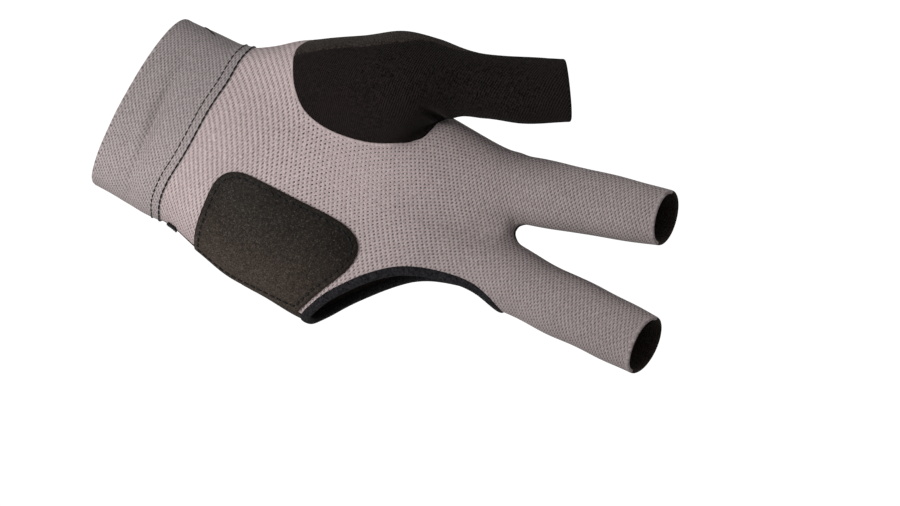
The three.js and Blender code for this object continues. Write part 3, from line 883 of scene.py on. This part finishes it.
class Wiring:
    """A material's nodes, added and joined by short calls."""

    def __init__(self, name):
        self.material = bpy.data.materials.new(name)
        self.material.use_nodes = True
        self.tree = self.material.node_tree
        self.shader = self.tree.nodes["Principled BSDF"]

    def add(self, kind, inputs=None, **settings):
        node = self.tree.nodes.new("ShaderNode" + kind)
        for key, value in settings.items():
            setattr(node, key, value)
        for key, value in (inputs or {}).items():
            self.put(node.inputs[key], value)
        return node

    def put(self, socket, value):
        if isinstance(value, bpy.types.NodeSocket):
            self.tree.links.new(value, socket)
        else:
            socket.default_value = value

    def math(self, operation, a, b=0.0, c=0.0):
        return self.add("Math", {0: a, 1: b, 2: c}, operation=operation).outputs[0]

    def plus(self, a, b):
        return self.math("ADD", a, b)

    def minus(self, a, b):
        return self.math("SUBTRACT", a, b)

    def times(self, a, b, plus=None):
        """a times b, and plus a third number if there is one."""
        if plus is None:
            return self.math("MULTIPLY", a, b)
        return self.math("MULTIPLY_ADD", a, b, plus)

    def ramp(self, value, low, high, from_=0.0, to=1.0):
        node = self.add("MapRange", {0: value, 1: low, 2: high, 3: from_, 4: to})
        node.interpolation_type = "SMOOTHSTEP"
        return node.outputs[0]

    def mix(self, share, a, b):
        node = self.add("Mix", data_type="RGBA")
        self.put(node.inputs[0], share)
        self.put(node.inputs[6], a)
        self.put(node.inputs[7], b)
        return node.outputs[2]

    def place(self):
        """The place on the glove in metres, as a node's outputs for the three axes."""
        return self.add("SeparateXYZ", {0: self.add("TexCoord").outputs["Object"]}).outputs

    def number(self, attribute):
        """One of the numbers that the piece's points carry."""
        return self.add("Attribute", attribute_name=attribute).outputs["Fac"]

    def counts(self):
        """The knit's counts across its columns and across its rows, as a node's outputs."""
        return self.add("SeparateXYZ", {0: self.add("UVMap", uv_map="knit").outputs[0]}).outputs

    def noise(self, scale, detail=2.0, roughness=0.5):
        node = self.add("TexNoise", {"Scale": scale, "Detail": detail, "Roughness": roughness})
        self.put(node.inputs["Vector"], self.add("TexCoord").outputs["Object"])
        return node.outputs[0]

    def wave(self, count):
        """1 where count is whole and -1 halfway."""
        return self.math("COSINE", self.times(count, 2 * math.pi))

    def wrapped(self, count):
        """How far count is from the nearest whole number."""
        return self.minus(count, self.math("ROUND", count))

    def cell(self, column, row):
        """The whole numbers nearest to both counts, as a vector."""
        nearest = {0: self.math("ROUND", column), 1: self.math("ROUND", row)}
        return self.add("CombineXYZ", nearest).outputs[0]

    def oval(self, column, row, place, skew, narrow, length):
        """1 in an oval in each of the knit's cells, at a place beside its hole, and 0 round it.

        The oval is long towards more columns and fewer rows. With skew it leans on by one column.
        """
        across = self.wrapped(self.plus(column, place[0]))
        down = self.wrapped(self.plus(row, place[1]))
        leaning = self.times(across, self.plus(skew, 1.0))
        back = self.times(across, self.minus(1.0, skew))
        wide = self.math("DIVIDE", self.plus(leaning, down), narrow)
        long = self.math("DIVIDE", self.minus(back, down), length)
        reach = self.plus(self.times(wide, wide), self.times(long, long))
        return self.ramp(reach, 0.3, 1.6, 1.0, 0.0)

    def bump(self, height, distance, strength):
        inputs = {"Height": height, "Distance": distance, "Strength": strength}
        return self.add("Bump", inputs).outputs[0]

    def finish(self, colour, normal, roughness, sheen, specular, sheen_tint=WHITE):
        inputs = {
            "Base Color": colour, "Normal": normal, "Roughness": roughness, "Sheen Weight": sheen,
            "Sheen Roughness": 0.5, "Sheen Tint": sheen_tint, "Specular IOR Level": specular,
        }
        for key, value in inputs.items():
            self.put(self.shader.inputs[key], value)
        return self.material


def colour(red, green, blue):
    """A colour given as a screen shows it, from 0 to 255, for a shader's socket."""
    light = []
    for value in (red, green, blue):
        share = value / 255
        light.append(((share + 0.055) / 1.055) ** 2.4 if value > 10 else share / 12.92)
    return (*light, 1.0)


def mesh_knit(name, hem, light, dark, painted_falloff):
    """Grey knit with columns of small dark holes, each with a light loop of yarn beside it.

    The holes are round where the cloth is slack and long and narrow where it is stretched. There
    are none within hem mm of its edge. The last argument is painted shade: it says along which
    axis and between which places on it, in metres, the cloth is painted darker where less light
    falls, and by what share.
    """
    axis, start, end, painted_shade = painted_falloff
    m = Wiring(name)
    counts = m.counts()
    wander = m.times(m.minus(m.noise(700, 1), 0.5), 0.22)
    column = m.plus(counts[0], wander)
    row = m.minus(counts[1], wander)
    slack = m.number("slack")
    skew = m.number("skew")
    narrow = m.times(slack, 0.15, 0.27)
    length = m.times(slack, -0.38, 0.5)
    shown = m.ramp(m.number("edge"), hem * (1 - HEM_FADE), hem * (1 + HEM_FADE))
    hole = m.times(m.oval(column, row, (0, 0), skew, narrow, length), shown)
    tail = m.times(m.oval(column, row, (0.14, -0.14), skew, 0.3, 0.45), shown)
    loop_highlight = m.oval(column, row, (-0.22, -0.1), skew, 0.3, 0.45)
    cell = m.add("TexWhiteNoise", {0: m.cell(column, row)}).outputs["Value"]
    fibre = m.noise(1900, 2, 0.65)
    yarn = m.mix(m.ramp(m.noise(28, 3), 0.3, 0.7), colour(*light), colour(*dark))
    # Painted shade: the yarn is painted darker along one axis, where less light falls on the glove.
    yarn = m.mix(m.ramp(m.place()[axis], start, end, 0.0, painted_shade), yarn, BLACK)
    dull = m.mix(0.45, yarn, BLACK)
    shade = m.mix(m.ramp(fibre, 0.3, 0.7, 0.0, 0.62), m.mix(0.16, yarn, WHITE), dull)
    # Painted highlight: a lighter spot on the loop of yarn beside each hole, where it catches the light;
    # the bump raises that loop as well.
    shade = m.mix(m.times(loop_highlight, 0.14), shade, WHITE)
    # Painted shade: the knit is painted darker along the grooves of its columns.
    groove_shade = m.times(m.wave(row), 0.35, m.wave(column))
    groove_shade = m.times(groove_shade, 0.4, 0.5)
    groove_shade = m.times(groove_shade, m.times(slack, -0.1, 0.12))
    shade = m.mix(groove_shade, shade, BLACK)
    shade = m.mix(m.times(tail, 0.24), shade, colour(62, 50, 50))
    deep = m.times(slack, 0.5, 0.46)
    deep = m.times(deep, m.times(cell, 0.5, 0.72))
    shade = m.mix(m.times(hole, deep), shade, colour(46, 36, 36))
    height = m.minus(m.times(fibre, 0.3), m.times(hole, deep))
    height = m.minus(height, m.times(tail, 0.2))
    height = m.plus(height, m.times(loop_highlight, 0.25))
    return m.finish(shade, m.bump(height, 0.25 * MM, 0.5), 0.9, 0.06, 0.12)


def black_knit(name, rib, dark, light, sheen):
    """Black knit with fine ribs across its columns, which show by the share rib, and a fibrous face."""
    m = Wiring(name)
    counts = m.counts()
    fibre = m.times(m.noise(1300, 3, 0.75), 3.6, -1.8)
    wobble = m.times(m.noise(260, 2), 1.3)
    ribs = m.wave(m.plus(counts[0], wobble))
    loops = m.wave(m.plus(counts[1], wobble))
    clear = m.ramp(m.noise(70, 2), 0.35, 0.65, 0.3 * rib, rib)
    height = m.times(m.times(loops, 0.4, ribs), clear)
    level = m.plus(height, fibre)
    cloud = m.ramp(m.noise(35, 3), 0.35, 0.7, 0.0, 0.25)
    # Painted light and shade with the knit's own mottle: the colour follows the bump's level, so the
    # ribs' crests are painted lighter and their furrows darker, while the fibres and cloudy patches vary
    # the tone at random.
    crest_light_and_mottle = colour(*light)
    shade = m.mix(cloud, m.mix(m.ramp(level, -0.75, 0.75), colour(*dark), crest_light_and_mottle), crest_light_and_mottle)
    return m.finish(shade, m.bump(level, 0.1 * MM, 0.6), 0.95, sheen, 0.05, (1, 0.94, 0.9, 1))


def suede():
    """Charcoal suede: a short brushed nap, browner and lighter low down."""
    m = Wiring("suede")
    nap = m.noise(2300, 3, 0.7)
    grain = m.noise(900, 3, 0.6)
    brushed = m.noise(50, 3, 0.55)
    place = m.place()
    level = m.times(m.noise(60, 2), -0.014, place[2])
    lower_lighter = m.ramp(level, *PATCH_LIGHTER_BELOW, 1.0, 0.0)
    base = m.mix(m.ramp(brushed, 0.3, 0.7), colour(43, 39, 36), colour(56, 52, 48))
    base = m.mix(lower_lighter, base, colour(80, 70, 63))
    base = m.mix(m.ramp(place[0], *PATCH_DARKER, 0.0, 0.4), base, BLACK)
    shade = m.mix(m.ramp(nap, 0.36, 0.6, 0.6, 0.0), base, BLACK)
    shade = m.mix(m.ramp(nap, 0.58, 0.72, 0.0, 0.42), shade, colour(130, 121, 112))
    shade = m.mix(m.ramp(grain, 0.35, 0.65, 0.35, 0.0), shade, BLACK)
    shade = m.mix(m.ramp(m.number("edge"), 0.0, 0.9, 0.6, 0.0), shade, colour(26, 19, 17))
    normal = m.bump(m.plus(nap, m.times(grain, 0.6)), 0.15 * MM, 0.7)
    return m.finish(shade, normal, 0.95, 0.12, 0.1, colour(150, 135, 120))


def fibrous(name, noise, low, dark, light, relief, roughness, specular):
    """A black tape or thread with a fine fibrous face."""
    m = Wiring(name)
    fibre = m.noise(*noise)
    shade = m.mix(m.ramp(fibre, low, 0.7), colour(*dark), colour(*light))
    return m.finish(shade, m.bump(fibre, relief * MM, 0.5), roughness, 0.04, specular)


def panel(name, mesh, lift, thickness, material, slot, uv, edge=None, press=None):
    """A sewn panel: its sheet of cloth, with the knit's counts and the distance from its edges."""
    points, faces, source = thicken(mesh, lift, thickness, press)
    numbers = {"edge": edge(mesh[0])[source]} if edge else {}
    if slot == "mesh_knit":
        numbers["slack"] = slackness(mesh[0])[source]
        numbers["skew"] = skewness(mesh[0])[source]
    piece = add_mesh(name, points, faces, material, lambda corners: uv(source[corners]), numbers)
    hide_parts(name)


def slackness(points):
    """1 where the mesh knit lies slack in the middle of the palm, falling to 0 round it."""
    x, _, z = points.T
    along = (x - SLACK["x"]) / SLACK["length"]
    across = (z - SLACK["z"]) / SLACK["width"]
    return np.exp(-along * along - across * across)


def skewness(points):
    """1 where the mesh knit is pulled askew over the forefinger, falling to 0 at its root."""
    x, _, z = points.T
    return np.clip((x - SKEW["x"]) / SKEW["length"], 0, 1) * np.clip(z / SKEW["height"], 0, 1)


def inset(keep):
    """A panel's own field, taken in for the rounding of its edges."""
    return lambda points: keep(points) - SEAM_INSET


def make_cuff(whole):
    """The cuff, a full ring whose knit is counted round it without a break."""

    def keep(points):
        return np.minimum(on_cuff(points), past_cut(MOUTH, points) - CUFF_CLOTH / 2)

    mesh = trim(whole, keep)
    counts, jumps = cuff_map(mesh[0])

    def uv(sources):
        found = counts[sources].reshape(-1, 3, 2)
        wrapped = np.round((found - found[:, :1]) / jumps)
        return (found - wrapped * jumps).reshape(-1, 2)

    # Painted shade: the cuff is painted darker towards its top, +Z, where less light falls.
    painted_shade = (2, -0.034, 0.026, 0.31)
    material = mesh_knit("cuff_knit", CUFF_HEM, (166, 148, 148), (154, 137, 137), painted_shade)
    panel("cuff", mesh, CUFF_PROUD, CUFF_CLOTH, material, "mesh_knit", uv, on_cuff)


def palm_edge(points):
    """How far points are before a sleeve's end. By a sewn edge it is so low that the holes close."""
    sewn = (palm_share(points) - SEAM_INSET) / SEWN_FADE
    return np.minimum(before_sleeve_ends(points), HEM * (1 - HEM_FADE + 2 * HEM_FADE * sewn))


def knit_panel(name, hand, keep, knit, facing, material, slot, edge=None):
    """A panel of the hand's cloth, with its knit counted over it."""
    mesh = trim(hand, inset(keep))
    counts = knit_map(mesh, knit, facing)
    panel(name, mesh, 0, CLOTH, material, slot, lambda sources: counts[sources], edge)


def make_palm(hand):
    # Painted shade: the palm is painted darker towards the fingertips, where less light falls.
    painted_shade = (0, 0.05, 0.15, 0.4)
    grey = mesh_knit("palm_knit", HEM, (190, 167, 166), (181, 158, 157), painted_shade)
    knit_panel("palm_panel", hand, palm_share, PALM_KNIT, (0, -1, 0), grey, "mesh_knit", palm_edge)


def make_thumb(hand):
    black = black_knit("ribbed_knit", 0.85, (4, 3, 3), (39, 33, 32), 0.02)
    knit_panel("thumb_panel", hand, thumb_share, THUMB_KNIT, (0, -1, 0), black, "ribbed_knit")


def make_back(hand):
    def keep(points):
        return -np.maximum(palm_share(points), thumb_share(points))

    black = black_knit("stretch_knit", 0.3, (16, 13, 12), (61, 54, 50), 0.05)
    knit_panel("back_panel", hand, keep, BACK_KNIT, (0, 1, 0), black, "stretch_knit")


def make_patch(whole):
    mesh = trim(whole, inset(patch_share))

    def press(points):
        inside = patch_share(points)
        places = {"stitches": PATCH_STITCHES["inside"], "edge": 0}
        sunk = 0
        for key, place in places.items():
            depth, width = PATCH_PRESS[key]
            sunk = sunk + depth * np.exp(-(((inside - place) / width) ** 2))
        return sunk

    def flat(sources):
        return mesh[0][sources][:, [0, 2]]

    panel("heel_patch", mesh, PATCH_LIFT, SUEDE, suede(), "suede", flat, patch_share, press)


def make_binding(hand):
    """The tape, swept round the cut edge of the hand's cloth, with a fine rib across it."""
    line, closed = contour(hand, in_opening)
    line = even(line, RIB_PITCH / 4, closed, 12)
    normals = normals_at(line)
    ways = unit(np.roll(line, -1, axis=0) - np.roll(line, 1, axis=0))
    inward = np.cross(normals, ways)
    if (slope(in_opening, line) * inward).sum() < 0:
        inward = -inward
    count = len(line)
    rib = RIB_HEIGHT * np.cos(np.arange(count) * math.pi / 2)
    turns = np.arange(TAPE_SIDES) * 2 * math.pi / TAPE_SIDES
    wide = np.sign(np.cos(turns)) * np.abs(np.cos(turns)) ** 0.75
    tall = np.sign(np.sin(turns)) * np.abs(np.sin(turns)) ** 0.6
    half_width, half_height = TAPE_WIDTH / 2, CLOTH / 2 + TAPE_PROUD
    middle = line + inward * (half_width - TAPE_OVERLAP) - normals * CLOTH / 2
    points = (
        middle[:, None]
        + inward[:, None] * (wide * half_width)[None, :, None]
        + normals[:, None] * (tall[None, :, None] * (half_height + rib[:, None, None]))
    )
    index = np.arange(count * TAPE_SIDES).reshape(count, TAPE_SIDES)
    ahead, beside = np.roll(index, -1, axis=0), np.roll(index, -1, axis=1)
    quads = np.stack([index, beside, np.roll(ahead, -1, axis=1), ahead], -1).reshape(-1, 4)
    tape = fibrous("binding_tape", (1500, 3, 0.6), 0.3, (10, 9, 11), (44, 42, 45), 0.1, 0.85, 0.1)
    piece = add_mesh("opening_binding", points.reshape(-1, 3), quads, tape)
    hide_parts("opening_binding")


def make_threads(whole):
    """The rows of stitches, two beside the cuff's seam and one on the patch, and two single threads."""
    black = fibrous("black_thread", (2200, 2, 0.6), 0.35, (8, 7, 8), (28, 25, 26), 0.08, 0.6, 0.25)
    stitches("cuff_seam_stitches", whole, on_cuff, SEAM_STITCHES, black)
    stitches("cuff_hem_stitches", whole, on_cuff, HEM_STITCHES, black)
    stitches("patch_stitches", whole, patch_share, PATCH_STITCHES, black)
    bartack(black)
    cuff_side_thread(black)


def side_thread(name, x, y, side, lift, radius, material):
    """A thread through places x, y on one side of the hand, whose height is that column of HAND."""
    line = settle(np.stack([x, y, along_column(HAND, side, x)], 1), 8)
    points, faces = tube(line + normals_at(line) * lift, radius)
    add_mesh(name, points, faces, material)


def bartack(material):
    """The tight zigzag of thread over the side seam, just past the cuff on the little finger's side."""
    steps = np.linspace(0, 1, BARTACK["turns"] * 8 + 1)
    swing = 2 / math.pi * np.arcsin(np.sin(steps * BARTACK["turns"] * math.pi))
    x = np.interp(steps, (0, 1), BARTACK["x"])
    y = smooth(LITTLE_FINGER_SIDE, x) - BARTACK["front"] + swing * BARTACK["width"] / 2
    radius = np.full(len(x), BARTACK["radius"])
    side_thread("bartack", x, y, 1, BARTACK["lift"], radius, material)


def cuff_side_thread(material):
    """The bit of seam thread that shows on the cuff's side towards the thumb."""
    x = np.linspace(*CUFF_THREAD["x"], 24)
    y = np.interp(x, CUFF_THREAD["x"], CUFF_THREAD["y"])
    ends = np.sin(np.linspace(0.15, math.pi - 0.15, 24))
    radius = CUFF_THREAD["radius"] * np.sqrt(ends)
    side_thread("cuff_side_thread", x, y, 2, CUFF_PROUD + 0.5 * CUFF_THREAD["radius"], radius, material)


def white_to_camera(tree, shader, glow, output):
    """Shows a surface or the sky as plain white to the camera, and as its own shader to the light."""
    glow.inputs["Color"].default_value = WHITE
    glow.inputs["Strength"].default_value = CAMERA_WHITE
    mixer = tree.nodes.new("ShaderNodeMixShader")
    path = tree.nodes.new("ShaderNodeLightPath")
    tree.links.new(path.outputs["Is Camera Ray"], mixer.inputs[0])
    tree.links.new(shader.outputs[0], mixer.inputs[1])
    tree.links.new(glow.outputs[0], mixer.inputs[2])
    tree.links.new(mixer.outputs[0], output.inputs["Surface"])


def make_floor():
    """A plain pale floor."""
    bpy.ops.mesh.primitive_plane_add(size=FLOOR_SIZE, location=(0, 0, FLOOR_HEIGHT))
    floor = bpy.context.object
    floor.name = "floor"
    m = Wiring("floor")
    m.shader.inputs["Base Color"].default_value = (0.9, 0.9, 0.9, 1)
    m.shader.inputs["Roughness"].default_value = 0.9
    white_to_camera(m.tree, m.shader, m.add("Emission"), m.tree.nodes["Material Output"])
    floor.data.materials.append(m.material)


def make_lights():
    """The studio's even fill and its softboxes."""
    world = bpy.data.worlds.new("studio")
    bpy.context.scene.world = world
    world.use_nodes = True
    tree = world.node_tree
    backdrop = tree.nodes["Background"]
    backdrop.inputs["Color"].default_value = WHITE
    backdrop.inputs["Strength"].default_value = FILL
    glow = tree.nodes.new("ShaderNodeBackground")
    white_to_camera(tree, backdrop, glow, tree.nodes["World Output"])
    for name, place, size, watts, target, spread in SOFTBOXES:
        lamp = bpy.data.lights.new(name, "AREA")
        lamp.shape = "RECTANGLE"
        lamp.size, lamp.size_y = size
        lamp.energy = watts
        lamp.spread = math.radians(spread)
        holder = add_object(name, lamp)
        holder.location = place
        aim = Vector(target) - holder.location
        holder.rotation_euler = aim.to_track_quat("-Z", "Y").to_euler()


def make_camera():
    """The photograph's view of the palm."""
    camera = bpy.data.cameras.new("camera")
    camera.lens = CAMERA_LENS
    camera.sensor_width = 36
    holder = add_object("camera", camera)
    turn = math.radians(CAMERA_AZIMUTH)
    back = Vector((math.sin(turn), -math.cos(turn), 0))
    facing = (-back).to_track_quat("-Z", "Y").to_matrix()
    rolled = facing @ Matrix.Rotation(math.radians(CAMERA_ROLL), 3, "Z")
    place = Vector(CAMERA_TARGET) + back * CAMERA_DISTANCE
    holder.matrix_world = Matrix.Translation(place) @ rolled.to_4x4()
    bpy.context.scene.camera = holder
    bpy.context.scene.view_settings.view_transform = "Standard"


make_camera()
make_floor()
make_lights()
whole_skin = skin_mesh()
hand_skin = trim(whole_skin, lambda points: -on_cuff(points))
hand_skin = trim(hand_skin, lambda points: before_sleeve_ends(points) - CLOTH / 2)
open_hand = trim(hand_skin, lambda points: -in_opening(points))
make_cuff(whole_skin)
make_palm(open_hand)
make_thumb(open_hand)
make_back(open_hand)
make_patch(whole_skin)
make_binding(hand_skin)
make_threads(whole_skin)
